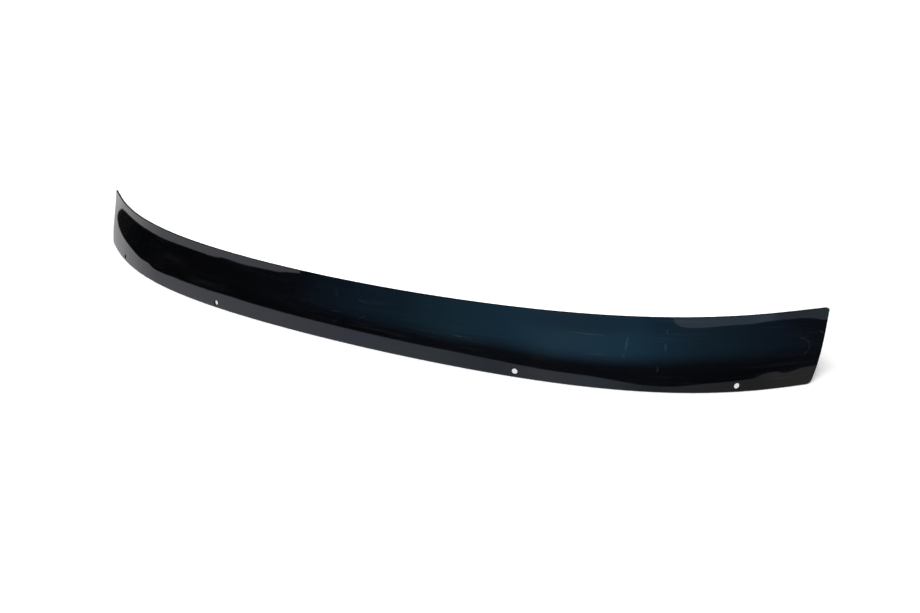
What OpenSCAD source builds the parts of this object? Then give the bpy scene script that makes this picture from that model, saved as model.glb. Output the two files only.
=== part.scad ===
// Hood deflector: one thermoformed sheet of black acrylic that stands on its foot.
// X runs along the width of the hood, Y points back over it and Z is up.
// The sheet is laid out flat first: s runs along the foot from the middle, and z up the sheet.
// Each point of that blank is then carried to the formed surface.

/* [Sheet] */
// Length of the blank, measured along the foot line between the two top corners
sheet_length = 1400; // [1200:10:1600]
// Height of the blank at the middle, measured up its face
mid_height = 98.2; // [80:0.2:120]
// Height of the blank at its shoulders, seven tenths of the way to the ends
shoulder_height = 104.5; // [85:0.2:125]
// Height of the blank at the ends
end_height = 103.4; // [85:0.2:125]
// Thickness of the acrylic
sheet_t = 3; // [2:0.5:5]
// Radius that the polished edges are rounded to
edge_r = 0.6; // [0.2:0.1:0.9]

/* [Plan curve] */
// Turn of the foot line, in degrees, that builds up evenly from the middle to each end
nose_turn = 13.6; // [0:0.1:20]
// Further turn of the foot line, in degrees, that the corners would add by the ends
corner_turn = 41.8; // [20:0.1:60]
// How late the corner turn comes, as the power of the distance from the middle
corner_power = 3.6; // [2:0.1:5]
// Part of the corner turn that the straighter last stretch takes back, in degrees
tail_relief = 21.4; // [0:0.1:25]
// How late the tail relief comes, as the power of the distance from the middle
tail_power = 8; // [6:0.5:12]

/* [Profile] */
// Backward lean of the face at the foot, in the middle, in degrees
foot_lean = 15.8; // [10:0.2:25]
// Backward lean half way up, in the middle
belly_lean = 19; // [10:0.2:30]
// Backward lean at the top lip, in the middle
lip_lean = 13.8; // [5:0.2:25]
// Backward lean of the face at the foot, at each end
end_foot_lean = 17.2; // [10:0.2:25]
// Backward lean half way up, at each end
end_belly_lean = 22.6; // [10:0.2:30]
// Backward lean at the top lip, at each end
end_lip_lean = 15.6; // [5:0.2:30]

/* [End cuts] */
// How much shorter the foot is than the top edge, at each end
end_rake = 28; // [15:0.5:60]
// How far each end cut bows outwards from the straight line
end_bow = 4.3; // [1:0.1:10]
// Radius of the top corners
top_corner_r = 4; // [2:0.5:12]
// Radius of the foot corners
foot_corner_r = 9; // [3:0.5:20]

/* [Clip holes] */
// Bore of the four clip holes
hole_d = 8; // [4:0.2:10]
// Height of the hole centres above the foot, up the face
hole_up = 8.1; // [7:0.1:20]
// Distance of the inner pair of holes from the middle, along the foot
inner_hole_at = 264; // [100:5:350]
// Distance of the outer pair of holes from the ends of the blank
outer_hole_inset = 135; // [60:5:220]

/* [Resolution] */
// Columns that the sheet is divided into along its length
columns = 64; // [24:2:80]
// Rows between the corner roundings
face_rows = 13; // [6:1:20]
// Steps of each corner rounding
corner_steps = 3; // [2:1:5]
// Steps of each rounded edge
edge_steps = 2; // [1:1:3]

/* [Hidden] */
acrylic_black = [0.02, 0.025, 0.03];
hole_facets = 48;

half_length = sheet_length / 2;
outer_hole_at = half_length - outer_hole_inset;

// Foot line in plan, as a table of the distance along it, worked out in short steps
path_step = 4;
path_count = ceil(1.05 * half_length / path_step);

function heading(s) =
    let (u = abs(s) / half_length)
    nose_turn * u + corner_turn * pow(u, corner_power) - tail_relief * pow(u, tail_power);

function path_walk(count) = [
    for (i = 0, x = 0, y = 0; i <= count;
         turn = heading((i + 0.5) * path_step),
         x = x + path_step * cos(turn),
         y = y + path_step * sin(turn),
         i = i + 1)
        [i * path_step, x, y]
];

path = path_walk(path_count);
path_x = [for (p = path) [p[0], p[1]]];
path_y = [for (p = path) [p[0], p[2]]];

// Side of the middle that a point lies on, and the foot line's point and outward direction there
function side(s) = s < 0 ? -1 : 1;
function foot_point(s) = [side(s) * lookup(abs(s), path_x), lookup(abs(s), path_y), 0];
function outward(s) = [side(s) * sin(heading(s)), -cos(heading(s)), 0];

// Quadratic that passes through a, b and c at the shares 0, one half and 1
function through(a, b, c, share) =
    a * (1 - share) * (1 - 2 * share) + b * 4 * share * (1 - share) + c * share * (2 * share - 1);

// Height of the blank, and lean of its face at the share t of that height
function end_share(s) = pow(s / half_length, 2);
function blank_height(s) = through(mid_height, shoulder_height, end_height, end_share(s));
function blend(middle, end, s) = middle + (end - middle) * end_share(s);
function lean(s, t) = through(
    blend(foot_lean, end_foot_lean, s),
    blend(belly_lean, end_belly_lean, s),
    blend(lip_lean, end_lip_lean, s),
    t
);

// Profile from the foot to the share t: how far it has gone back and up
profile_steps = 12;
function profile(s, t) =
    let (
        shares = [for (k = [0.5 : profile_steps]) lean(s, t * k / profile_steps)],
        length = t * blank_height(s) / profile_steps,
        ones = [for (a = shares) 1]
    )
    [length * ([for (a = shares) sin(a)] * ones), length * ([for (a = shares) cos(a)] * ones)];

// Formed position of the blank's point s, at the share t of its height and the given depth
// below the outer face
function formed(s, t, depth) =
    let (
        back_up = profile(s, t),
        angle = lean(s, t)
    )
    foot_point(s)
    - outward(s) * (back_up[0] + depth * cos(angle))
    + [0, 0, back_up[1] - depth * sin(angle)];

// End cut of the blank: one arc from the foot to the top, bowed outwards
foot_end = half_length - end_rake;
cut_chord = norm([end_rake, end_height]);
cut_r = (pow(cut_chord / 2, 2) + end_bow * end_bow) / (2 * end_bow);
cut_mid = [(foot_end + half_length) / 2, end_height / 2];
cut_centre = cut_mid - (cut_r - end_bow) * [end_height, -end_rake] / cut_chord;

// Each corner is rounded by an arc that is tangent to the cut and to the edge
function corner_centre(radius, z) =
    [cut_centre[0] + sqrt(pow(cut_r - radius, 2) - pow(z - cut_centre[1], 2)), z];
foot_corner = corner_centre(foot_corner_r, foot_corner_r);
top_corner = corner_centre(top_corner_r, end_height - top_corner_r);
function cut_angle(corner) =
    atan2(corner[1] - cut_centre[1], corner[0] - cut_centre[0]);
foot_angle = cut_angle(foot_corner);
top_angle = cut_angle(top_corner);

// Right-hand end of the blank as points from the foot to the top, all inset by the same amount
function arc_point(centre, radius, angle) = centre + radius * [cos(angle), sin(angle)];
function end_outline(inset) = concat(
    [for (k = [0 : corner_steps])
        arc_point(foot_corner, foot_corner_r - inset,
                  -90 + (foot_angle + 90) * k / corner_steps)],
    [for (k = [1 : face_rows - 1])
        arc_point(cut_centre, cut_r - inset,
                  foot_angle + (top_angle - foot_angle) * k / face_rows)],
    [for (k = [0 : corner_steps])
        arc_point(top_corner, top_corner_r - inset,
                  top_angle + (90 - top_angle) * k / corner_steps)]
);
row_count = face_rows + 2 * corner_steps;

// Layers through the thickness, from the outer face to the inner one, as depth and inset:
// the outline draws in at both faces, which rounds the edges
edge_angles = [for (k = [0 : edge_steps]) 90 * k / edge_steps];
layers = concat(
    [for (a = edge_angles) edge_r * [1 - cos(a), 1 - sin(a)]],
    [for (a = edge_angles) [sheet_t - edge_r * (1 - sin(a)), edge_r * (1 - cos(a))]]
);
last_layer = len(layers) - 1;

function layer_point(layer, outline, column, row) =
    formed(outline[row][0] * (2 * column / columns - 1),
           outline[row][1] / end_height,
           layer[0]);

// Grid positions round the rim of a face, counter-clockwise seen from outside
rim = concat(
    [for (column = [0 : columns - 1]) [column, 0]],
    [for (row = [0 : row_count - 1]) [columns, row]],
    [for (column = [columns : -1 : 1]) [column, row_count]],
    [for (row = [row_count : -1 : 1]) [0, row]]
);

function face_points(layer) =
    let (outline = end_outline(layer[1]))
    [for (column = [0 : columns], row = [0 : row_count])
        layer_point(layer, outline, column, row)];
function rim_points(layer) =
    let (outline = end_outline(layer[1]))
    [for (place = rim) layer_point(layer, outline, place[0], place[1])];

face_size = (columns + 1) * (row_count + 1);
function grid_id(column, row) = column * (row_count + 1) + row;
// Ids of a layer's rim: the outer face comes first, then the inner one, then the rims between
function rim_ids(index) =
    index == 0 ? [for (place = rim) grid_id(place[0], place[1])]
    : index == last_layer ? [for (place = rim) face_size + grid_id(place[0], place[1])]
    : [for (k = [0 : len(rim) - 1]) 2 * face_size + (index - 1) * len(rim) + k];

function face_triangles(offset, flip) = [
    for (column = [0 : columns - 1], row = [0 : row_count - 1], half = [0, 1])
        let (
            a = offset + grid_id(column, row),
            b = offset + grid_id(column + 1, row),
            c = offset + grid_id(column + 1, row + 1),
            d = offset + grid_id(column, row + 1),
            corners = half == 0 ? [a, c, b] : [a, d, c]
        )
        flip ? [corners[0], corners[2], corners[1]] : corners
];
function strip_triangles(near, far) = [
    for (k = [0 : len(near) - 1], half = [0, 1])
        let (next = (k + 1) % len(near))
        half == 0 ? [near[k], near[next], far[next]] : [near[k], far[next], far[k]]
];

raw_points = concat(
    face_points(layers[0]),
    face_points(layers[last_layer]),
    [for (index = [1 : last_layer - 1]) each rim_points(layers[index])]
);
sheet_faces = concat(
    face_triangles(0, false),
    face_triangles(face_size, true),
    [for (index = [0 : last_layer - 1])
        each strip_triangles(rim_ids(index), rim_ids(index + 1))]
);

// The sheet stands on its lowest edge, centred front to back on the origin
lowest = min([for (p = raw_points) p[2]]);
depth_middle = (min([for (p = raw_points) p[1]]) + max([for (p = raw_points) p[1]])) / 2;
stand = [0, -depth_middle, -lowest];

module formed_sheet() {
    polyhedron(points = raw_points, faces = sheet_faces, convexity = 6);
}

// A hole square to the sheet, at the distance s along the foot
module clip_hole(s) {
    share = hole_up / blank_height(s);
    reach = 2 * sheet_t;
    translate(formed(s, share, sheet_t / 2))
        rotate([0, 0, side(s) * heading(s) - 90])
            rotate([0, 90 - lean(s, share), 0])
                cylinder(h = 2 * reach, d = hole_d, center = true, $fn = hole_facets);
}

module shield() {
    color(acrylic_black)
        translate(stand)
            difference() {
                formed_sheet();
                for (s = [-outer_hole_at, -inner_hole_at, inner_hole_at, outer_hole_at])
                    clip_hole(s);
            }
}

shield();
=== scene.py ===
"""Looks of the hood deflector: one formed sheet of gloss black acrylic on a pale studio floor.

The sheet is laid out flat first: x runs along the foot from the middle, y runs from the outer face
inwards and z runs up the sheet. Each point of that blank is then carried to the formed surface.
Lengths are in metres, and angles in degrees where a field says so.
"""

from __future__ import annotations

import logging
import math
from dataclasses import dataclass, field
from enum import Enum

import bmesh
import bpy
from mathutils import Matrix, Vector


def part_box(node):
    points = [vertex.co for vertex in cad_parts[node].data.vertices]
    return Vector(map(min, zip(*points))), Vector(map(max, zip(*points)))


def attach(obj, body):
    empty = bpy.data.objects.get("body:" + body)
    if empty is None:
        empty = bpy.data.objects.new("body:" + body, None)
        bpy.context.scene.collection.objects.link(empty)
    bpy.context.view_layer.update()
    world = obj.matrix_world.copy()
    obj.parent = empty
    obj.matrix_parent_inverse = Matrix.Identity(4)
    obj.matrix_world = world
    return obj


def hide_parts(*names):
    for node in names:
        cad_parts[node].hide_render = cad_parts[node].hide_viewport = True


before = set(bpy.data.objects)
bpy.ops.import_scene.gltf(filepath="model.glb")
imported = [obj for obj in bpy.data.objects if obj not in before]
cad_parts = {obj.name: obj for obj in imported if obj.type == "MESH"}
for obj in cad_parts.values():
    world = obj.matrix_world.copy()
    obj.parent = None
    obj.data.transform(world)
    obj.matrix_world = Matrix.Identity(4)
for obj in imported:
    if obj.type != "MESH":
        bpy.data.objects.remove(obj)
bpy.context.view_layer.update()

log = logging.getLogger("hood_deflector")

Colour = tuple[float, float, float]
Stops = tuple[tuple[float, Colour], ...]
Profile = tuple[tuple[float, float], ...]

BLACK: Colour = (0.0, 0.0, 0.0)
WHITE: Colour = (1.0, 1.0, 1.0)

# Points closer together than the first are one, and the second tells apart what lies on a line
MERGE = 1e-7
SLACK = 1e-5


def rgba(colour: Colour) -> tuple[float, float, float, float]:
    """Gives a colour its full alpha."""
    return (*colour, 1.0)


class Signal:
    """A node's output that Python's operators turn into Math nodes."""

    def __init__(self, shader: Shader, socket: bpy.types.NodeSocket) -> None:
        """Keeps the shader that the socket belongs to."""
        self.shader = shader
        self.socket = socket

    def _with(self, operation: str, *others: Value) -> Signal:
        """Adds one Math node.

        Args:
            operation: The Math node's operation.
            others: What this signal is combined with, in order.

        Returns:
            The node's value.
        """
        inputs = {index: value for index, value in enumerate((self, *others))}
        return self.shader.node("ShaderNodeMath", {"operation": operation}, inputs)

    def __add__(self, other: Value) -> Signal:
        """Adds another value."""
        return self._with("ADD", other)

    __radd__ = __add__

    def __mul__(self, other: Value) -> Signal:
        """Multiplies by another value."""
        return self._with("MULTIPLY", other)

    __rmul__ = __mul__

    def __sub__(self, other: Value) -> Signal:
        """Takes another value away."""
        return self._with("SUBTRACT", other)

    def __rsub__(self, other: Value) -> Signal:
        """Takes this value away from a number."""
        return (self * -1.0) + other

    def absolute(self) -> Signal:
        """Drops the sign."""
        return self._with("ABSOLUTE")

    def atan2(self, other: Value) -> Signal:
        """Is the angle, in radians, of this value over another."""
        return self._with("ARCTAN2", other)

    def smooth(self, low: Value, high: Value) -> Signal:
        """Rises smoothly from 0 to 1.

        Args:
            low: The value at which the result is 0.
            high: The value at which it is 1, which may be the lower of the two.

        Returns:
            The risen value.
        """
        settings = {"interpolation_type": "SMOOTHSTEP", "clamp": True}
        inputs = {"Value": self, "From Min": low, "From Max": high}
        return self.shader.node("ShaderNodeMapRange", settings, inputs, "Result")


Value = Signal | float


class Ray(Enum):
    """The kinds of ray that the studio shows different things to."""

    CAMERA = "Is Camera Ray"
    GLOSSY = "Is Glossy Ray"


class Shader:
    """A node tree that is filled through one node-making method."""

    def __init__(self, tree: bpy.types.NodeTree) -> None:
        """Empties the tree."""
        self.tree = tree
        tree.nodes.clear()

    def node(
        self,
        kind: str,
        settings: dict[str, object] | None = None,
        inputs: dict[str | int, object] | None = None,
        output: str | int = 0,
    ) -> Signal | None:
        """Makes one node.

        Args:
            kind: The node's type.
            settings: Its properties, which are set first. "stops" are a colour ramp's.
            inputs: Values or signals of its input sockets, by name or number.
            output: The output that is wanted.

        Returns:
            That output as a signal, or None for a node that has none.
        """
        made = self.tree.nodes.new(kind)
        for name, value in (settings or {}).items():
            if name == "stops":
                self._fill_ramp(made.color_ramp, value)
            else:
                setattr(made, name, value)
        for name, value in (inputs or {}).items():
            if isinstance(value, Signal):
                self.tree.links.new(value.socket, made.inputs[name])
            else:
                made.inputs[name].default_value = value
        return Signal(self, made.outputs[output]) if len(made.outputs) else None

    @staticmethod
    def _fill_ramp(ramp: bpy.types.ColorRamp, stops: Stops) -> None:
        """Sets a ramp's colours.

        Args:
            ramp: The ramp.
            stops: Places from 0 to 1, with their colours.
        """
        while len(ramp.elements) < len(stops):
            ramp.elements.new(1.0)
        for element, (place, colour) in zip(ramp.elements, stops):
            element.position = place
            element.color = rgba(colour)

    def ramp(self, factor: Signal, stops: Stops) -> Signal:
        """Is the colour of a ramp.

        Args:
            factor: The place on the ramp, from 0 to 1.
            stops: Places, with their colours.

        Returns:
            The colour.
        """
        return self.node("ShaderNodeValToRGB", {"stops": stops}, {0: factor})

    def mix(self, factor: Value, first: object, second: object) -> Signal:
        """Mixes two colours.

        Args:
            factor: 0 for the first and 1 for the second.
            first: A colour or a signal.
            second: A colour or a signal.

        Returns:
            The mixed colour.
        """
        settings = {"data_type": "RGBA"}
        return self.node("ShaderNodeMix", settings, {0: factor, 6: first, 7: second}, 2)

    def attribute(self, name: str, output: str) -> Signal:
        """Reads one of the mesh's own attributes."""
        return self.node("ShaderNodeAttribute", {"attribute_name": name}, {}, output)

    def noise(self, place: Signal, scale: float, detail: float = 2.0) -> Signal:
        """Is a noise value about 0.5.

        Args:
            place: The coordinates.
            scale: Waves per metre.
            detail: Finer waves that are added.

        Returns:
            The noise.
        """
        inputs = {"Vector": place, "Scale": scale, "Detail": detail}
        return self.node("ShaderNodeTexNoise", {}, inputs, 0)


@dataclass(frozen=True)
class Along:
    """A size that changes along the sheet: its values at the middle, the shoulder and the end."""

    middle: float
    shoulder: float
    end: float

    def at(self, share: float) -> float:
        """Is the quadratic through the three values.

        Args:
            share: The squared distance from the middle, 1 at the end.

        Returns:
            The size there.
        """
        return (
            self.middle * (1 - share) * (1 - 2 * share)
            + self.shoulder * 4 * share * (1 - share)
            + self.end * share * (2 * share - 1)
        )


@dataclass
class FormedSurface:
    """The curved face that the blank is formed to. Angles are in degrees.

    The leans are how far the face tips back at the foot, half way up and at the lip. The turns are
    how far the foot line has turned by the end, and the powers say how late that comes.
    """

    half_length: float = 0.7
    height: Along = Along(0.0982, 0.1045, 0.1034)
    foot_lean: Along = Along(15.8, 16.5, 17.2)
    belly_lean: Along = Along(19.0, 20.8, 22.6)
    lip_lean: Along = Along(13.8, 14.7, 15.6)
    nose_turn: float = 13.6
    corner_turn: float = 41.8
    corner_power: float = 3.6
    tail_relief: float = 21.4
    tail_power: float = 8.0
    path_step: float = 0.004
    profile_steps: int = 12
    overrun: float = 1.05
    path: list[tuple[float, float]] = field(default_factory=list)

    def __post_init__(self) -> None:
        """Walks the foot line from the middle to just past the end."""
        x, y = 0.0, 0.0
        for index in range(math.ceil(self.overrun * self.half_length / self.path_step) + 1):
            self.path.append((x, y))
            turn = self.heading((index + 0.5) * self.path_step)
            x += self.path_step * math.cos(turn)
            y += self.path_step * math.sin(turn)

    def heading(self, s: float) -> float:
        """Is the foot line's turn from straight ahead, in radians, at the distance s."""
        u = abs(s) / self.half_length
        return math.radians(
            self.nose_turn * u
            + self.corner_turn * u**self.corner_power
            - self.tail_relief * u**self.tail_power
        )

    def share(self, s: float) -> float:
        """Is the squared distance from the middle, 1 at the end."""
        return (s / self.half_length) ** 2

    def lean(self, s: float, t: float) -> float:
        """Is the face's backward lean.

        Args:
            s: The distance along the foot.
            t: The share of the height.

        Returns:
            The lean, in radians.
        """
        share = self.share(s)
        up = Along(
            self.foot_lean.at(share), self.belly_lean.at(share), self.lip_lean.at(share)
        )
        return math.radians(up.at(t))

    def foot_point(self, s: float) -> tuple[float, float]:
        """Is the foot line's place at the distance s, on the right-hand side."""
        index = min(int(abs(s) / self.path_step), len(self.path) - 1)
        rest = abs(s) - index * self.path_step
        turn = self.heading(index * self.path_step + rest / 2)
        x, y = self.path[index]
        return x + rest * math.cos(turn), y + rest * math.sin(turn)

    def carry(self, blank: Vector, blank_height: float) -> Vector:
        """Carries a point of the flat blank to the formed sheet.

        Args:
            blank: The point: distance along the foot, depth and height on the blank.
            blank_height: The blank's height at its ends.

        Returns:
            The formed point, with the foot's middle at the origin.
        """
        s, depth, t = blank.x, blank.y, blank.z / blank_height
        step = t * self.height.at(self.share(s)) / self.profile_steps
        back, up = 0.0, 0.0
        for index in range(self.profile_steps):
            angle = self.lean(s, t * (index + 0.5) / self.profile_steps)
            back += step * math.sin(angle)
            up += step * math.cos(angle)
        angle = self.lean(s, t)
        back += depth * math.cos(angle)
        x, y = self.foot_point(s)
        turn = self.heading(s)
        x -= math.sin(turn) * back
        y += math.cos(turn) * back
        return Vector((math.copysign(x, s), y, up - depth * math.sin(angle)))

    def carry_normal(self, blank: Vector, normal: Vector, blank_height: float) -> Vector:
        """Carries a normal of the flat blank to the formed sheet.

        Args:
            blank: The point that the normal stands on.
            normal: The flat normal.
            blank_height: The blank's height at its ends.

        Returns:
            The formed normal.
        """
        reach = 0.0005
        columns = []
        for axis in (Vector((1, 0, 0)), Vector((0, 1, 0)), Vector((0, 0, 1))):
            ahead = self.carry(blank + reach * axis, blank_height)
            behind = self.carry(blank - reach * axis, blank_height)
            columns.append((ahead - behind) / (2 * reach))
        spread = Matrix(columns)
        return (spread.inverted() @ normal).normalized()


@dataclass(frozen=True)
class ClipHole:
    """One of the holes for the hood clips.

    Its patch is the part of the face's grid that its ring takes the place of, as half a width and
    a number of rows.
    """

    at: float
    up: float = 0.0081
    radius: float = 0.004
    patch: float = 0.0062
    patch_rows: int = 3
    segments: int = 48


@dataclass
class Blank:
    """The flat sheet with its slanted, bowed ends, rounded corners and edges, and clip holes."""

    surface: FormedSurface
    thickness: float = 0.003
    edge_r: float = 0.0006
    edge_steps: int = 3
    end_rake: float = 0.028
    end_bow: float = 0.0043
    top_corner_r: float = 0.004
    foot_corner_r: float = 0.009
    corner_steps: int = 8
    cut_steps: int = 24
    column: float = 0.005
    row: float = 0.004
    first_row: float = 0.002
    holes: tuple[ClipHole, ...] = (
        ClipHole(-0.565),
        ClipHole(-0.264),
        ClipHole(0.264),
        ClipHole(0.565),
    )

    @property
    def height(self) -> float:
        """Is the blank's height at its ends."""
        return self.surface.height.end

    def _cut_circle(self) -> tuple[Vector, float]:
        """Is the end cut's centre, in x and z, and its radius."""
        half = self.surface.half_length
        chord = math.hypot(self.end_rake, self.height)
        radius = ((chord / 2) ** 2 + self.end_bow**2) / (2 * self.end_bow)
        middle = Vector((half - self.end_rake / 2, 0.0, self.height / 2))
        inwards = Vector((-self.height, 0.0, self.end_rake)) / chord
        return middle + (radius - self.end_bow) * inwards, radius

    def _draw_outline(self, mesh: bmesh.types.BMesh) -> bmesh.types.BMFace:
        """Draws the outline as three spun arcs at each end, and fills it.

        Args:
            mesh: The mesh to draw in.

        Returns:
            The filled face, whose normal points out of the outer side.
        """
        cut, cut_r = self._cut_circle()

        def corner(radius: float, z: float) -> Vector:
            """Is the centre of a corner rounding that is tangent to the cut."""
            along = math.sqrt((cut_r - radius) ** 2 - (z - cut.z) ** 2)
            return Vector((cut.x + along, 0.0, z))

        foot = corner(self.foot_corner_r, self.foot_corner_r)
        top = corner(self.top_corner_r, self.height - self.top_corner_r)
        foot_angle = math.atan2(foot.z - cut.z, foot.x - cut.x)
        top_angle = math.atan2(top.z - cut.z, top.x - cut.x)
        arcs = (
            (foot, foot_angle + math.pi / 2, self.corner_steps),
            (cut, top_angle - foot_angle, self.cut_steps),
            (top, math.pi / 2 - top_angle, self.corner_steps),
        )
        start = foot - Vector((0, 0, self.foot_corner_r))
        last = bmesh.ops.create_vert(mesh, co=start)["vert"][0]
        for centre, angle, steps in arcs:
            spun = bmesh.ops.spin(
                mesh, geom=[last], cent=centre, axis=(0, -1, 0), angle=angle, steps=steps
            )
            last = next(g for g in spun["geom_last"] if isinstance(g, bmesh.types.BMVert))
        bmesh.ops.mirror(mesh, geom=mesh.verts[:] + mesh.edges[:], axis="X", merge_dist=MERGE)
        for z in (0.0, self.height):
            pair = sorted(mesh.verts, key=lambda v: abs(v.co.z - z))[:2]
            bmesh.ops.contextual_create(mesh, geom=pair)
        filled = bmesh.ops.contextual_create(mesh, geom=mesh.edges[:])["faces"][0]
        filled.normal_update()
        if filled.normal.y > 0:
            bmesh.ops.reverse_faces(mesh, faces=[filled])
        return filled

    def _round_rim(self, mesh: bmesh.types.BMesh, face: bmesh.types.BMFace) -> None:
        """Draws the face in and forward in steps, which rounds the outline's front edge."""
        previous = (0.0, self.edge_r)
        for inset, depth in self._edge_steps():
            bmesh.ops.inset_region(
                mesh,
                faces=[face],
                use_boundary=True,
                use_even_offset=True,
                thickness=inset - previous[0],
                depth=previous[1] - depth,
            )
            previous = (inset, depth)

    def _edge_steps(self) -> list[tuple[float, float]]:
        """Is the edge rounding, from the wall to the face, as inset and depth."""
        angles = [math.pi / 2 * k / self.edge_steps for k in range(1, self.edge_steps + 1)]
        return [
            (self.edge_r * (1 - math.cos(a)), self.edge_r * (1 - math.sin(a))) for a in angles
        ]

    def _divide(self, mesh: bmesh.types.BMesh) -> None:
        """Cuts the face into columns and rows, with lines round each hole's patch."""
        half = self.surface.half_length
        count = round(half / self.column)
        columns = [k * self.column for k in range(1 - count, count)]
        columns += [hole.at + side * hole.patch for hole in self.holes for side in (-1, 1)]
        rows = []
        z = self.first_row
        while z < self.height - self.first_row:
            rows.append(z)
            z += self.row
        cuts = [(Vector((s, 0, 0)), Vector((1, 0, 0))) for s in columns]
        cuts += [(Vector((0, 0, z)), Vector((0, 0, 1))) for z in rows]
        for place, normal in cuts:
            bmesh.ops.bisect_plane(
                mesh,
                geom=mesh.verts[:] + mesh.edges[:] + mesh.faces[:],
                dist=MERGE,
                plane_co=place,
                plane_no=normal,
            )

    def _hole_centre(self, hole: ClipHole) -> tuple[Vector, float]:
        """Is a hole's centre on the blank, and how much the blank is stretched upwards there."""
        stretch = self.height / self.surface.height.at(self.surface.share(hole.at))
        return Vector((hole.at, 0.0, hole.up * stretch)), stretch

    def is_bored(self, point: Vector) -> bool:
        """Tells whether a point of the blank is on a hole's wall."""
        for hole in self.holes:
            centre, stretch = self._hole_centre(hole)
            across = math.hypot(point.x - centre.x, (point.z - centre.z) / stretch)
            if across < hole.radius + SLACK:
                return True
        return False

    def _bore(self, mesh: bmesh.types.BMesh, hole: ClipHole) -> None:
        """Opens one clip hole with a rounded edge.

        Args:
            mesh: The divided face.
            hole: The hole.
        """
        centre, stretch = self._hole_centre(hole)
        low, high = self.first_row, self.first_row + hole.patch_rows * self.row

        def in_patch(point: Vector) -> bool:
            """Tells whether a point is in the square that the hole takes the place of."""
            near = abs(point.x - hole.at) < hole.patch + SLACK
            return near and low - SLACK < point.z < high + SLACK

        taken = [f for f in mesh.faces if in_patch(f.calc_center_median())]
        bmesh.ops.delete(mesh, geom=taken, context="FACES")
        edges = [
            e for e in mesh.edges if e.is_boundary and all(in_patch(v.co) for v in e.verts)
        ]
        radius = hole.radius + self.edge_r
        place = (
            Matrix.Translation(centre)
            @ Matrix.Diagonal((1, 1, stretch, 1))
            @ Matrix.Rotation(math.pi / 2, 4, "X")
        )
        ring = bmesh.ops.create_circle(mesh, segments=hole.segments, radius=radius, matrix=place)
        loop = list({e for v in ring["verts"] for e in v.link_edges})
        bmesh.ops.bridge_loops(mesh, edges=edges + loop)
        steps = [(hole.radius + inset, depth) for inset, depth in reversed(self._edge_steps()[:-1])]
        steps.append((hole.radius, self.edge_r))
        depth = 0.0
        for next_radius, next_depth in steps:
            spread = bmesh.ops.extrude_edge_only(mesh, edges=loop)["geom"]
            verts = [g for g in spread if isinstance(g, bmesh.types.BMVert)]
            loop = [g for g in spread if isinstance(g, bmesh.types.BMEdge) and g.is_boundary]
            ratio = next_radius / radius
            bmesh.ops.scale(
                mesh, vec=(ratio, 1, ratio), space=Matrix.Translation(-centre), verts=verts
            )
            bmesh.ops.translate(mesh, vec=(0, next_depth - depth, 0), verts=verts)
            radius, depth = next_radius, next_depth

    def _give_thickness(self, mesh: bmesh.types.BMesh) -> None:
        """Draws the walls to half the thickness, mirrors the rest and closes the shell."""
        middle = self.thickness / 2
        walls = bmesh.ops.extrude_edge_only(mesh, edges=[e for e in mesh.edges if e.is_boundary])
        verts = [g for g in walls["geom"] if isinstance(g, bmesh.types.BMVert)]
        bmesh.ops.translate(mesh, vec=(0, middle - self.edge_r, 0), verts=verts)
        bmesh.ops.translate(mesh, vec=(0, -middle, 0), verts=mesh.verts[:])
        geometry = mesh.verts[:] + mesh.edges[:] + mesh.faces[:]
        bmesh.ops.mirror(mesh, geom=geometry, axis="Y", merge_dist=MERGE)
        bmesh.ops.translate(mesh, vec=(0, middle, 0), verts=mesh.verts[:])
        bmesh.ops.recalc_face_normals(mesh, faces=mesh.faces[:])

    def build(self, mesh: bmesh.types.BMesh) -> None:
        """Makes the whole flat blank as one closed shell."""
        face = self._draw_outline(mesh)
        bmesh.ops.translate(mesh, vec=(0, self.edge_r, 0), verts=mesh.verts[:])
        self._round_rim(mesh, face)
        self._divide(mesh)
        for hole in self.holes:
            self._bore(mesh, hole)
        self._give_thickness(mesh)

    def flat_normal(self, vert: bmesh.types.BMVert) -> Vector:
        """Is the exact normal of a point of the flat blank.

        Args:
            vert: The point, with its averaged normal up to date.

        Returns:
            The normal: straight out of both faces, and level on the walls.
        """
        if vert.co.y < SLACK:
            return Vector((0, -1, 0))
        if vert.co.y > self.thickness - SLACK:
            return Vector((0, 1, 0))
        if self.edge_r - SLACK < vert.co.y < self.thickness - self.edge_r + SLACK:
            return Vector((vert.normal.x, 0, vert.normal.z)).normalized()
        return vert.normal.copy()


@dataclass(frozen=True)
class Scratch:
    """A mark on the outer face. Its ends are distances along the foot and heights.

    Its core is the share of its reach, from its line outwards, that is marked in full.
    """

    start: tuple[float, float]
    end: tuple[float, float]
    width: float = 0.0016
    strength: float = 1.0
    depth: float = 0.001
    core: float = 0.3

    def mask(self, shader: Shader, blank: Signal) -> Signal:
        """Is the mark's strength along its line, fading out to its sides and ends.

        Args:
            shader: The shader to work in.
            blank: The place on the flat blank.

        Returns:
            The strength.
        """
        (s0, z0), (s1, z1) = self.start, self.end
        inputs = {
            "Vector": blank,
            "Location": ((s0 + s1) / 2, 0.0, (z0 + z1) / 2),
            "Rotation": (0.0, -math.atan2(z1 - z0, s1 - s0), 0.0),
            "Scale": (math.hypot(s1 - s0, z1 - z0) / 2, self.depth, self.width / 2),
        }
        place = shader.node("ShaderNodeMapping", {"vector_type": "TEXTURE"}, inputs)
        far = shader.node("ShaderNodeVectorMath", {"operation": "LENGTH"}, {0: place}, "Value")
        return far.smooth(1.0, self.core) * self.strength


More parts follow.
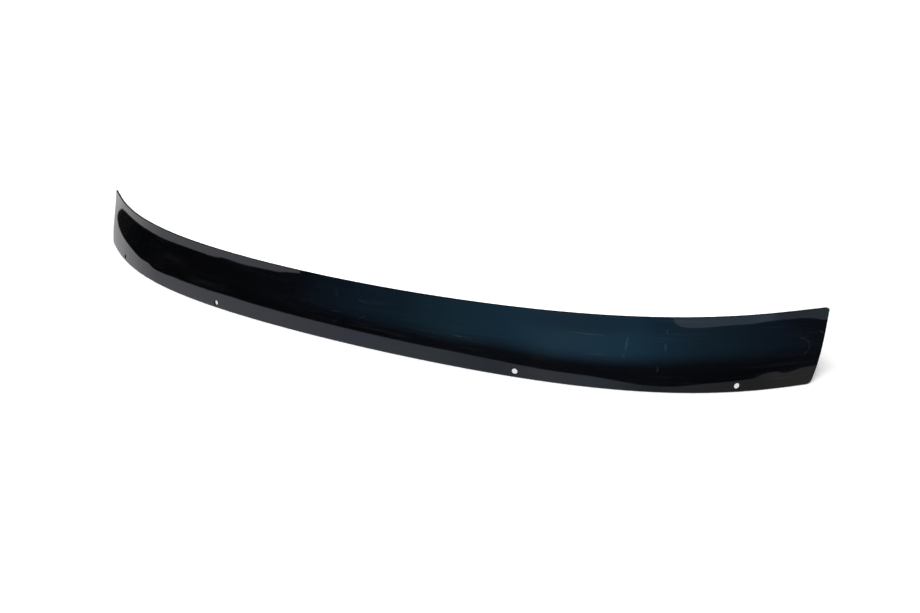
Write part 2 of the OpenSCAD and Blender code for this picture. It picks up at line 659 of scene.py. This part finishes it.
HAIRLINES = (
    Scratch((0.325, 0.0756), (0.392, 0.0753)),
    Scratch((0.353, 0.0481), (0.393, 0.0475), strength=0.6),
    Scratch((0.011, 0.0778), (0.034, 0.0716), strength=0.6),
    Scratch((-0.036, 0.0492), (-0.008, 0.0498), strength=0.5),
    Scratch((-0.030, 0.0270), (-0.011, 0.0430), strength=0.3),
    Scratch((0.016, 0.0448), (0.033, 0.0532), strength=0.5),
    Scratch((0.168, 0.0484), (0.188, 0.0477), strength=0.8),
    Scratch((0.684, 0.0735), (0.694, 0.0670)),
)
RUBS = (
    Scratch((0.413, 0.079), (0.411, 0.052), width=0.004, strength=0.7),
    Scratch((0.4108, 0.054), (0.408, 0.043), width=0.004, strength=0.4),
    Scratch((0.4637, 0.088), (0.4662, 0.080), width=0.003, strength=0.6),
    Scratch((0.4638, 0.070), (0.4647, 0.056), width=0.004, strength=0.7),
    Scratch((0.4565, 0.038), (0.4557, 0.027), width=0.004, strength=0.4),
    Scratch((-0.0268, 0.0885), (-0.0200, 0.0715), width=0.003, strength=0.4),
    Scratch((0.652, 0.0672), (0.667, 0.0635), width=0.003, strength=0.4),
    Scratch((0.663, 0.0655), (0.671, 0.0560), width=0.003, strength=0.4),
    Scratch((0.670, 0.0590), (0.669, 0.0455), width=0.003, strength=0.4),
    Scratch((0.670, 0.0480), (0.658, 0.0420), width=0.003, strength=0.4),
)


@dataclass(frozen=True)
class AcrylicFinish:
    """Gloss black acrylic with the light wear of a sheet that has been handled.

    Scales are in waves per metre, and ranges are where a noise starts and ends to show. The body,
    the dust, the scuffs and the drilled walls each have a colour. Dust, film and wear make the
    gloss rougher by a little.
    """

    body: Colour = (0.0018, 0.0019, 0.0021)
    dust: Colour = (0.030, 0.032, 0.034)
    scuff: Colour = (0.026, 0.029, 0.033)
    chalk: Colour = (0.010, 0.010, 0.011)
    gloss: float = 0.022
    matt: float = 0.9
    ior: float = 1.49
    speck_scale: float = 900.0
    speck_range: tuple[float, float] = (0.74, 0.80)
    speck_dust: float = 0.5
    speck_rough: float = 0.25
    film_scale: float = 14.0
    film_range: tuple[float, float] = (0.35, 0.75)
    film_rough: float = 0.008
    wipe_scale: tuple[float, float, float] = (9.0, 1.0, 260.0)
    wipe_range: tuple[float, float] = (0.48, 0.72)
    wipe_dust: float = 0.22
    wear_rough: float = 0.15
    wave_scale: float = 18.0
    wave_height: float = 0.000012
    scratches: tuple[Scratch, ...] = HAIRLINES + RUBS

    def make(self) -> bpy.types.Material:
        """Makes the material.

        Returns:
            The material, which reads Object coordinates and the sheet's own attributes.
        """
        material = bpy.data.materials.new("black_acrylic")
        material.use_nodes = True
        shader = Shader(material.node_tree)
        place = shader.node("ShaderNodeTexCoord", output="Object")
        blank = shader.attribute("blank", "Vector")
        bored = shader.attribute("bored", "Fac")
        specks = shader.noise(place, self.speck_scale, 1.0).smooth(*self.speck_range)
        film = shader.noise(place, self.film_scale, 3.0).smooth(*self.film_range)
        drawn = shader.node("ShaderNodeMapping", {}, {"Vector": blank, "Scale": self.wipe_scale})
        wiped = shader.noise(drawn, 1.0).smooth(*self.wipe_range) * film
        worn = sum((scratch.mask(shader, blank) for scratch in self.scratches), 0.0)
        dusty = specks * self.speck_dust + wiped * self.wipe_dust
        colour = shader.mix(dusty, rgba(self.body), rgba(self.dust))
        colour = shader.mix(worn, colour, rgba(self.scuff))
        rough = specks * self.speck_rough + film * self.film_rough + worn * self.wear_rough
        waves = shader.noise(place, self.wave_scale, 1.0)
        bump = shader.node(
            "ShaderNodeBump",
            {},
            {"Strength": 1.0, "Distance": self.wave_height, "Height": waves},
        )
        sheet = shader.node(
            "ShaderNodeBsdfPrincipled",
            {},
            {
                "Base Color": colour,
                "Roughness": rough + self.gloss,
                "IOR": self.ior,
                "Normal": bump,
            },
        )
        wall = shader.node(
            "ShaderNodeBsdfPrincipled",
            {},
            {
                "Base Color": rgba(self.chalk),
                "Roughness": self.matt,
                "Specular IOR Level": 0.0,
            },
        )
        surface = shader.node("ShaderNodeMixShader", {}, {0: bored, 1: sheet, 2: wall})
        shader.node("ShaderNodeOutputMaterial", {}, {"Surface": surface})
        return material


@dataclass
class Shield:
    """The deflector itself, which stands for the CAD node of the same place."""

    surface: FormedSurface = field(default_factory=FormedSurface)
    finish: AcrylicFinish = field(default_factory=AcrylicFinish)

    def build(self) -> bpy.types.Object:
        """Builds and dresses the sheet.

        Returns:
            The finished piece.
        """
        blank = Blank(self.surface)
        shell = bmesh.new()
        blank.build(shell)
        shell.normal_update()
        flat = [vert.co.copy() for vert in shell.verts]
        normals = [
            self.surface.carry_normal(point, blank.flat_normal(vert), blank.height)
            for point, vert in zip(flat, shell.verts)
        ]
        places = [self.surface.carry(point, blank.height) for point in flat]
        shift = self._stand(places)
        for vert, place in zip(shell.verts, places):
            vert.co = place + shift
        mesh = bpy.data.meshes.new("shield_sheet")
        shell.to_mesh(mesh)
        shell.free()
        mesh.shade_smooth()
        mesh.normals_split_custom_set_from_vertices(normals)
        where = mesh.attributes.new("blank", "FLOAT_VECTOR", "POINT")
        where.data.foreach_set("vector", [part for point in flat for part in point])
        bored = mesh.attributes.new("bored", "FLOAT", "POINT")
        bored.data.foreach_set("value", [float(blank.is_bored(point)) for point in flat])
        mesh.materials.append(self.finish.make())
        sheet = bpy.data.objects.new("shield_sheet", mesh)
        bpy.context.scene.collection.objects.link(sheet)
        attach(sheet, "root")
        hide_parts("shield")
        log.info("shield_sheet: %d faces", len(mesh.polygons))
        return sheet

    @staticmethod
    def _stand(places: list[Vector]) -> Vector:
        """Finds the shift that stands the sheet where the CAD node stands.

        Args:
            places: The formed points.

        Returns:
            The shift.
        """
        low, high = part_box("shield")
        depth = (min(p.y for p in places) + max(p.y for p in places)) / 2
        return Vector((0, (low.y + high.y) / 2 - depth, low.z - min(p.z for p in places)))


@dataclass(frozen=True)
class Viewpoint:
    """The camera's place, and its turns in degrees."""

    place: tuple[float, float, float] = (0.45852, -0.73833, 0.53212)
    yaw: float = 22.761
    pitch: float = 31.340
    roll: float = -1.004
    lens: float = 23.90
    sensor: float = 36.0

    def build(self) -> bpy.types.Object:
        """Makes the camera and the scene looks through it."""
        data = bpy.data.cameras.new("camera")
        data.lens = self.lens
        data.sensor_width = self.sensor
        data.sensor_fit = "HORIZONTAL"
        camera = bpy.data.objects.new("camera", data)
        turn = (
            Matrix.Rotation(math.radians(self.yaw), 4, "Z")
            @ Matrix.Rotation(math.radians(90 - self.pitch), 4, "X")
            @ Matrix.Rotation(math.radians(self.roll), 4, "Z")
        )
        camera.matrix_world = Matrix.Translation(self.place) @ turn
        bpy.context.scene.collection.objects.link(camera)
        bpy.context.scene.camera = camera
        return camera


@dataclass(frozen=True)
class Round:
    """Where the ground that the gloss reflects ends and how bright it is, by azimuth.

    Azimuths are in degrees from straight ahead of the sheet, positive to the right. The horizon
    gives each one a height in degrees, and the ground below it and the room above it a colour.
    """

    horizon: tuple[tuple[float, float], ...] = (
        (-125.0, -10.5),
        (-108.6, -12.2),
        (-105.6, -11.88),
        (-101.2, -10.97),
        (-91.9, -8.9),
        (-84.9, -7.33),
        (-76.8, -5.68),
        (-72.4, -4.84),
        (-68.8, -4.33),
        (-57.5, -3.01),
        (-52.7, -2.41),
        (-50.0, -2.06),
        (-47.6, -1.89),
        (-30.2, -1.18),
        (-19.5, -0.8),
        (-12.0, -0.39),
        (-5.1, -0.24),
        (1.0, -0.43),
        (8.0, -0.42),
        (13.0, -0.32),
        (18.2, -0.8),
        (26.2, -2.25),
        (31.0, -2.58),
        (34.8, -2.62),
        (43.9, -1.4),
        (58.5, -1.1),
        (60.6, -0.1),
        (62.2, 0.17),
        (64.5, 0.14),
        (66.7, -1.1),
        (70.3, -0.14),
        (72.5, -0.02),
    )
    ground: Stops = (
        (-180.0, (0.60, 0.62, 0.66)),
        (-120.0, (0.80, 0.80, 0.82)),
        (-111.0, (0.72, 0.72, 0.74)),
        (-104.0, (0.67, 0.67, 0.69)),
        (-98.0, (0.78, 0.78, 0.80)),
        (-93.0, (0.77, 0.77, 0.80)),
        (-86.0, (0.80, 0.80, 0.85)),
        (-82.0, (0.75, 0.76, 0.81)),
        (-77.0, (0.74, 0.74, 0.81)),
        (-72.5, (0.66, 0.68, 0.77)),
        (-68.0, (0.75, 0.77, 0.85)),
        (-60.0, (0.85, 0.88, 0.98)),
        (-50.0, (0.89, 0.94, 1.07)),
        (-40.0, (0.89, 0.94, 1.11)),
        (-29.0, (0.77, 0.83, 1.05)),
        (-17.0, (0.70, 0.83, 0.98)),
        (-11.0, (0.60, 0.72, 0.86)),
        (-5.0, (0.51, 0.58, 0.74)),
        (4.0, (0.74, 0.78, 0.92)),
        (16.0, (0.57, 0.70, 0.88)),
        (28.0, (0.31, 0.36, 0.47)),
        (40.0, (0.39, 0.40, 0.44)),
        (60.0, (0.31, 0.31, 0.33)),
        (64.0, (0.37, 0.37, 0.39)),
        (75.0, (0.38, 0.38, 0.38)),
        (180.0, (0.55, 0.57, 0.60)),
    )
    room: Stops = (
        (-180.0, (0.010, 0.011, 0.013)),
        (-100.0, (0.012, 0.012, 0.012)),
        (-88.0, (0.001, 0.002, 0.004)),
        (-60.0, (0.001, 0.002, 0.005)),
        (-33.0, (0.004, 0.007, 0.018)),
        (-24.0, (0.012, 0.020, 0.040)),
        (-14.0, (0.035, 0.048, 0.085)),
        (25.0, (0.035, 0.045, 0.080)),
        (35.0, (0.022, 0.030, 0.060)),
        (45.0, (0.012, 0.018, 0.035)),
        (60.0, (0.010, 0.016, 0.030)),
        (67.0, (0.020, 0.030, 0.055)),
        (75.0, (0.045, 0.060, 0.100)),
        (180.0, (0.010, 0.011, 0.013)),
    )
    tallest: float = 15.0
    brightest: float = 1.2
    blur: float = 0.08

    @staticmethod
    def place(azimuth: float) -> float:
        """Is an azimuth's place on a ramp that goes all the way round."""
        return azimuth / 360.0 + 0.5

    def reach(self) -> float:
        """Is the sine of the tallest height that the horizon's ramp can hold."""
        return math.sin(math.radians(self.tallest))

    def horizon_stops(self) -> Stops:
        """Is the horizon as a grey ramp, where 0.5 is level."""
        stops = []
        for azimuth, height in self.horizon:
            grey = 0.5 + math.sin(math.radians(height)) / (2.0 * self.reach())
            stops.append((self.place(azimuth), (grey, grey, grey)))
        return tuple(stops)

    def colour_stops(self, colours: Stops) -> Stops:
        """Is the ground's or the room's colour as a ramp, over the brightest value."""
        return tuple(
            (self.place(azimuth), tuple(part / self.brightest for part in colour))
            for azimuth, colour in colours
        )


@dataclass(frozen=True)
class Card:
    """A curved card that only the gloss sees, glowing above a soft lower edge.

    It stands on an arc round a centre, over a span of degrees. Along X run the heights of its cut
    foot, of the edge of its glow and of the brow where the glow starts to fade, and also how soft
    the cut is, the glow, and the colour that is left below the edge.
    """

    name: str
    centre: tuple[float, float]
    radius: float
    span: tuple[float, float]
    top: float
    cut: Profile
    edge: Profile
    glow: Stops
    blur: Profile = ((-2.0, 0.001), (2.0, 0.001))
    dark: Stops = ((-2.0, BLACK), (2.0, BLACK))
    brow: Profile = ((-2.0, 0.9), (2.0, 0.9))
    brow_rise: float = 0.008
    fade: float = 0.0
    softness: float = 0.034
    strength: float = 1.4
    foot: float = 0.002
    segments: int = 48

    def _reach(self) -> tuple[float, float]:
        """Is the card's lowest and highest X."""
        ends = [self.centre[0] + self.radius * math.sin(math.radians(a)) for a in self.span]
        return ends[0], ends[1]

    def _along(self, pairs: tuple[tuple[float, object], ...]) -> tuple[tuple[float, object], ...]:
        """Puts pairs of an X and a value on a ramp that runs from end to end."""
        low, high = self._reach()
        return tuple(((x - low) / (high - low), value) for x, value in pairs)

    def _heights(self, profile: Profile) -> Stops:
        """Makes a profile of heights a ramp of greys."""
        return tuple((place, (z, z, z)) for place, z in self._along(profile))

    def _mesh(self) -> bpy.types.Mesh:
        """Spins the card's foot line, and draws it upwards."""
        shape = bmesh.new()
        first, last = (math.radians(angle) for angle in self.span)
        centre = Vector((*self.centre, self.foot))
        start = centre + self.radius * Vector((math.sin(first), -math.cos(first), 0))
        vert = bmesh.ops.create_vert(shape, co=start)["vert"]
        bmesh.ops.spin(
            shape, geom=vert, cent=centre, axis=(0, 0, 1), angle=last - first, steps=self.segments
        )
        drawn = bmesh.ops.extrude_edge_only(shape, edges=shape.edges[:])["geom"]
        verts = [g for g in drawn if isinstance(g, bmesh.types.BMVert)]
        bmesh.ops.translate(shape, vec=(0, 0, self.top - self.foot), verts=verts)
        mesh = bpy.data.meshes.new(self.name)
        shape.to_mesh(mesh)
        shape.free()
        return mesh

    def _material(self) -> bpy.types.Material:
        """Makes the glow, which is dark below its edge and clear below the cut."""
        material = bpy.data.materials.new(self.name)
        material.use_nodes = True
        shader = Shader(material.node_tree)
        place = shader.node("ShaderNodeTexCoord", output="Object")
        x = shader.node("ShaderNodeSeparateXYZ", {}, {0: place}, "X")
        z = shader.node("ShaderNodeSeparateXYZ", {}, {0: place}, "Z")
        low, high = self._reach()
        along = (x - low) * (1.0 / (high - low))
        cut = shader.ramp(along, self._heights(self.cut))
        edge = shader.ramp(along, self._heights(self.edge))
        brow = shader.ramp(along, self._heights(self.brow))
        glow = shader.ramp(along, self._along(self.glow))
        dark = shader.ramp(along, self._along(self.dark))
        faded = (z - brow).smooth(0.0, self.brow_rise) * self.fade
        lit = (z - edge).smooth(0.0, self.softness) * (1.0 - faded)
        colour = shader.mix(lit, dark, glow)
        emission = shader.node(
            "ShaderNodeEmission", {}, {"Color": colour, "Strength": self.strength}
        )
        clear = shader.node("ShaderNodeBsdfTransparent")
        blur = shader.ramp(along, self._heights(self.blur))
        shown = (z - cut).smooth(0.0, blur)
        surface = shader.node("ShaderNodeMixShader", {}, {0: shown, 1: clear, 2: emission})
        shader.node("ShaderNodeOutputMaterial", {}, {"Surface": surface})
        return material

    def build(self) -> bpy.types.Object:
        """Makes the card.

        Returns:
            The card, which the camera, diffuse light and shadows don't see.
        """
        mesh = self._mesh()
        mesh.materials.append(self._material())
        card = bpy.data.objects.new(self.name, mesh)
        bpy.context.scene.collection.objects.link(card)
        card.visible_camera = False
        card.visible_diffuse = False
        card.visible_shadow = False
        return card


BLUE_CARD = Card(
    name="blue_card",
    centre=(0.128, 0.721),
    radius=1.005,
    span=(-19.9, 47.5),
    top=0.5,
    cut=((-0.21, 0.032), (0.8, 0.036)),
    edge=(
        (-0.20, 0.030),
        (-0.09, 0.032),
        (0.0, 0.033),
        (0.12, 0.034),
        (0.22, 0.040),
        (0.33, 0.036),
        (0.43, 0.038),
        (0.49, 0.040),
        (0.54, 0.043),
        (0.63, 0.046),
        (0.72, 0.044),
        (0.87, 0.040),
    ),
    brow=(
        (0.11, 0.12),
        (0.22, 0.083),
        (0.32, 0.080),
        (0.43, 0.082),
        (0.49, 0.0855),
        (0.55, 0.086),
        (0.63, 0.088),
        (0.70, 0.12),
    ),
    fade=0.3,
    glow=(
        (-0.21, (0.016, 0.030, 0.060)),
        (-0.17, (0.024, 0.064, 0.125)),
        (-0.09, (0.043, 0.125, 0.245)),
        (0.005, (0.052, 0.172, 0.295)),
        (0.06, (0.078, 0.245, 0.405)),
        (0.12, (0.100, 0.320, 0.505)),
        (0.22, (0.110, 0.360, 0.630)),
        (0.33, (0.195, 0.520, 0.860)),
        (0.43, (0.175, 0.510, 0.880)),
        (0.488, (0.150, 0.478, 0.835)),
        (0.54, (0.108, 0.360, 0.640)),
        (0.63, (0.082, 0.225, 0.375)),
        (0.72, (0.054, 0.145, 0.258)),
        (0.787, (0.038, 0.092, 0.185)),
        (0.82, (0.041, 0.070, 0.140)),
        (0.845, (0.034, 0.047, 0.080)),
        (0.87, (0.030, 0.042, 0.070)),
    ),
    dark=(
        (-0.21, (0.003, 0.005, 0.013)),
        (-0.07, (0.007, 0.011, 0.025)),
        (0.01, (0.014, 0.021, 0.039)),
        (0.11, (0.028, 0.039, 0.064)),
        (0.49, (0.028, 0.036, 0.064)),
        (0.63, (0.018, 0.026, 0.046)),
        (0.73, (0.016, 0.021, 0.039)),
        (0.80, (0.018, 0.025, 0.043)),
        (0.87, (0.025, 0.033, 0.050)),
    ),
)

DARK_CARD = Card(
    name="dark_card",
    centre=(-0.030, 0.716),
    radius=1.712,
    span=(-40.6, -16.5),
    top=0.6,
    cut=(
        (-1.1408, 0.0276),
        (-1.1192, 0.0316),
        (-1.0796, 0.0327),
        (-1.0607, 0.0319),
        (-1.0424, 0.0303),
        (-1.0234, 0.0310),
        (-0.9670, 0.0362),
        (-0.9488, 0.0373),
        (-0.9221, 0.0376),
        (-0.7936, 0.0360),
        (-0.7772, 0.0336),
        (-0.7693, 0.0314),
        (-0.755, 0.0288),
        (-0.727, 0.0249),
        (-0.706, 0.0222),
        (-0.690, 0.0117),
        (-0.670, 0.0037),
    ),
    blur=((-1.2, 0.004), (-0.5, 0.004)),
    edge=((-1.2, -1.0), (-0.5, -1.0)),
    glow=(
        (-1.12, (0.001, 0.002, 0.004)),
        (-0.97, (0.001, 0.003, 0.008)),
        (-0.515, (0.016, 0.030, 0.062)),
    ),
)

FOOT_CARD = Card(
    name="foot_card",
    centre=(-0.308, 0.353),
    radius=0.478,
    span=(-43.3, -12.0),
    top=0.060,
    cut=(
        (-0.6357, 0.0184),
        (-0.6164, 0.0169),
        (-0.5978, 0.0149),
        (-0.5808, 0.0141),
        (-0.5504, 0.0161),
        (-0.5336, 0.0123),
        (-0.5189, 0.0120),
        (-0.4914, 0.0137),
        (-0.4652, 0.0165),
        (-0.4521, 0.0170),
        (-0.4389, 0.0171),
        (-0.4263, 0.0181),
        (-0.4070, 0.0184),
    ),
    blur=((-0.64, 0.002), (-0.40, 0.002)),
    edge=((-0.64, -1.0), (-0.40, -1.0)),
    glow=((-0.64, (0.001, 0.002, 0.003)), (-0.40, (0.001, 0.002, 0.004))),
)

# The line where the lip band ends: its sharp stretch, and then the rest of it
LIP_SHARP = (
    (0.5145, 0.0934),
    (0.518, 0.0909),
    (0.522, 0.0895),
    (0.5285, 0.0886),
    (0.535, 0.0880),
    (0.5415, 0.0877),
    (0.5583, 0.0876),
    (0.5711, 0.0877),
    (0.5839, 0.0880),
    (0.6094, 0.0881),
    (0.622, 0.0878),
    (0.6282, 0.0875),
    (0.653, 0.0874),
    (0.6652, 0.0875),
    (0.6771, 0.0872),
    (0.6886, 0.0869),
)
LIP_LINE = (
    *LIP_SHARP,
    (0.6997, 0.0863),
    (0.7104, 0.0859),
    (0.7203, 0.0850),
    (0.7295, 0.0837),
    (0.7377, 0.0817),
)

LIP_CARD = Card(
    name="lip_card",
    centre=(0.231, 0.556),
    radius=0.708,
    span=(23.6, 48.2),
    top=0.14,
    cut=(*LIP_SHARP, (0.703, 0.080), (0.712, 0.072), (0.73, 0.064), (0.75, 0.056)),
    blur=((0.51, 0.0006), (0.6997, 0.0006), (0.712, 0.006), (0.75, 0.012)),
    edge=LIP_LINE,
    dark=(
        (0.69, (0.036, 0.066, 0.130)),
        (0.715, (0.034, 0.050, 0.090)),
        (0.75, (0.030, 0.042, 0.070)),
    ),
    softness=0.0006,
    glow=(
        (0.51, (0.41, 0.61, 0.82)),
        (0.60, (0.39, 0.58, 0.77)),
        (0.635, (0.35, 0.52, 0.70)),
        (0.655, (0.42, 0.60, 0.79)),
        (0.668, (0.43, 0.57, 0.75)),
        (0.685, (0.26, 0.35, 0.45)),
        (0.71, (0.25, 0.33, 0.43)),
        (0.75, (0.28, 0.38, 0.47)),
    ),
)


@dataclass
class Studio:
    """A pale floor, a plain white surround and the soft things that the gloss reflects.

    The foot line holds the numbers of its even curve on the floor: its middle, and what the square
    and the fourth power of X are multiplied by.
    """

    floor_colour: Colour = (0.9, 0.9, 0.9)
    floor_roughness: float = 0.9
    floor_lift: float = 0.24
    # painted light: a camera-only pool of light added to the floor behind the foot line, lightening
    # the sheet's shadow there
    painted_light_behind: float = 0.42
    painted_light_reach: tuple[float, float] = (0.645, 0.575)
    foot_line: tuple[float, float, float] = (-0.0952, 0.1442, 0.4881)
    painted_light_gap: tuple[float, float] = (0.002, 0.005)
    floor_half: float = 15.0
    soft: Colour = (0.3, 0.3, 0.3)
    key_energy: float = 2.5
    key_spread: float = 32.0
    key_turn: tuple[float, float] = (22.0, -20.0)
    around: Round = field(default_factory=Round)
    cards: tuple[Card, ...] = (BLUE_CARD, DARK_CARD, FOOT_CARD, LIP_CARD)

    def _floor(self) -> None:
        """Makes the white floor, which the gloss doesn't see.

        The camera sees it lifted evenly, and more so behind the foot line, where a painted pool of
        light lightens the sheet's shadow that the clip holes show; in front and past the ends the
        shadow lies open.
        """
        shape = bmesh.new()
        bmesh.ops.create_grid(shape, x_segments=1, y_segments=1, size=self.floor_half)
        mesh = bpy.data.meshes.new("floor")
        shape.to_mesh(mesh)
        shape.free()
        material = bpy.data.materials.new("pale_floor")
        material.use_nodes = True
        shader = Shader(material.node_tree)
        camera = shader.node("ShaderNodeLightPath", output=Ray.CAMERA.value)
        place = shader.node("ShaderNodeTexCoord", output="Object")
        x, y = (shader.node("ShaderNodeSeparateXYZ", {}, {0: place}, axis) for axis in "XY")
        square = x * x
        middle, rise, bend = self.foot_line
        behind = y - ((square * bend + rise) * square + middle)
        # painted light behind the foot line, which lightens the sheet's own shadow there
        painted_light_mask = behind.smooth(*self.painted_light_gap) * x.absolute().smooth(*self.painted_light_reach)
        level = painted_light_mask * self.painted_light_behind + self.floor_lift
        # the camera sees the even lift plus the painted light behind the foot line
        even_lift_and_painted_light = shader.mix(camera * level, rgba(BLACK), rgba(WHITE))
        paint = shader.node(
            "ShaderNodeBsdfPrincipled",
            {},
            {
                "Base Color": rgba(self.floor_colour),
                "Roughness": self.floor_roughness,
                "Emission Color": even_lift_and_painted_light,
                "Emission Strength": 1.0,
            },
        )
        shader.node("ShaderNodeOutputMaterial", {}, {"Surface": paint})
        mesh.materials.append(material)
        floor = bpy.data.objects.new("floor", mesh)
        bpy.context.scene.collection.objects.link(floor)
        floor.visible_glossy = False

    def _world(self) -> None:
        """Makes the surround: white for the camera, soft light, and ground and room for gloss."""
        world = bpy.data.worlds.new("surround")
        bpy.context.scene.world = world
        world.use_nodes = True
        shader = Shader(world.node_tree)
        glossy = shader.node("ShaderNodeLightPath", output=Ray.GLOSSY.value)
        camera = shader.node("ShaderNodeLightPath", output=Ray.CAMERA.value)
        direction = shader.node("ShaderNodeTexCoord", output="Generated")
        x, y, z = (
            shader.node("ShaderNodeSeparateXYZ", {}, {0: direction}, axis) for axis in "XYZ"
        )
        turn = x.atan2(y * -1.0) * (1.0 / math.tau) + 0.5
        around = self.around
        level = shader.ramp(turn, around.horizon_stops())
        horizon = (level - 0.5) * (2.0 * around.reach())
        blur = math.radians(around.blur)
        below = (z - horizon).smooth(blur, -blur)
        ground = shader.ramp(turn, around.colour_stops(around.ground))
        room = shader.ramp(turn, around.colour_stops(around.room))
        seen = shader.mix(below, room, ground)
        soft = shader.mix(camera, rgba(self.soft), rgba(WHITE))
        lamps = shader.node("ShaderNodeBackground", {}, {"Color": soft, "Strength": 1.0})
        mirrored = shader.node(
            "ShaderNodeBackground", {}, {"Color": seen, "Strength": around.brightest}
        )
        both = shader.node("ShaderNodeMixShader", {}, {0: glossy, 1: lamps, 2: mirrored})
        shader.node("ShaderNodeOutputWorld", {}, {"Surface": both})

    def _key(self) -> None:
        """Makes the one soft lamp, high on the left."""
        data = bpy.data.lights.new("key", "SUN")
        data.energy = self.key_energy
        data.angle = math.radians(self.key_spread)
        key = bpy.data.objects.new("key", data)
        key.rotation_euler = (*(math.radians(turn) for turn in self.key_turn), 0.0)
        key.visible_glossy = False
        bpy.context.scene.collection.objects.link(key)

    def build(self) -> None:
        """Makes the floor, the surround, the lamp and the cards."""
        self._floor()
        self._world()
        self._key()
        for card in self.cards:
            card.build()
            log.info("%s: stands round %s", card.name, card.centre)


def main() -> None:
    """Builds the camera, the deflector and the studio."""
    logging.basicConfig(level=logging.INFO, format="%(name)s: %(message)s")
    Viewpoint().build()
    Shield().build()
    Studio().build()
    bpy.context.scene.view_settings.view_transform = "Standard"


if __name__ == "__main__":
    main()
